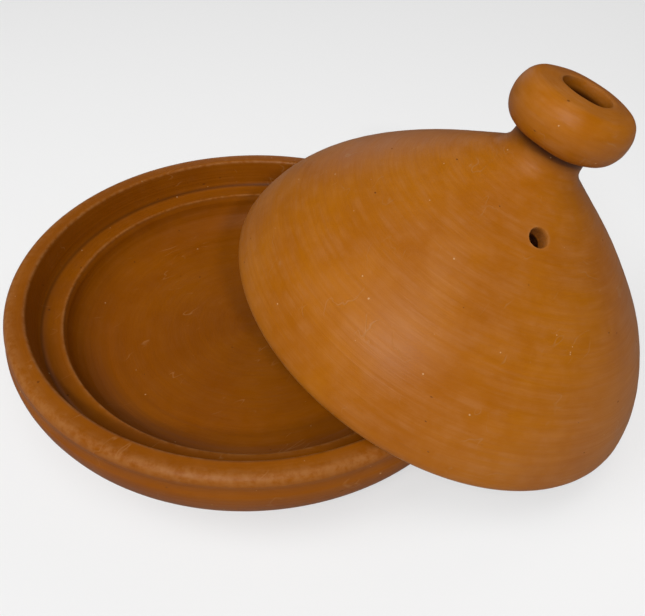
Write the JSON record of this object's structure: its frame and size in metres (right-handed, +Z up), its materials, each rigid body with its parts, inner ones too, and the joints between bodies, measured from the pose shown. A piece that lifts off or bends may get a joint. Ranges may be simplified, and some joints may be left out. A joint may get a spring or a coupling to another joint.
{
  "type": "tagine pot",
  "caption": "Shallow round clay cooking dish with a seat ring inside, and a domed lid with a steam vent and cupped knob, leaning on the dish's rim.",
  "frame": {"origin": "centre of the dish's flat foot, on the surface the pot stands on", "axes": "+Z up; +X from the dish towards the side where the lid's edge stands on the table; the dish and the leaning lid are symmetric about the XZ plane apart from the vent"},
  "size_m": [0.3908, 0.3, 0.19],
  "materials": {
    "dish_clay": "burnished unglazed earthenware, satin",
    "lid_clay": "burnished unglazed earthenware, satin"
  },
  "bodies": {
    "dish_body": {"dish": "dish_clay"},
    "lid_body": {"lid": "lid_clay"}
  },
  "joints": [
    {"name": "lid_lift", "type": "slide", "parent": "dish_body", "child": "lid_body", "axis": [0, 0, 1], "range_m": [0, 0.22]}
  ]
}
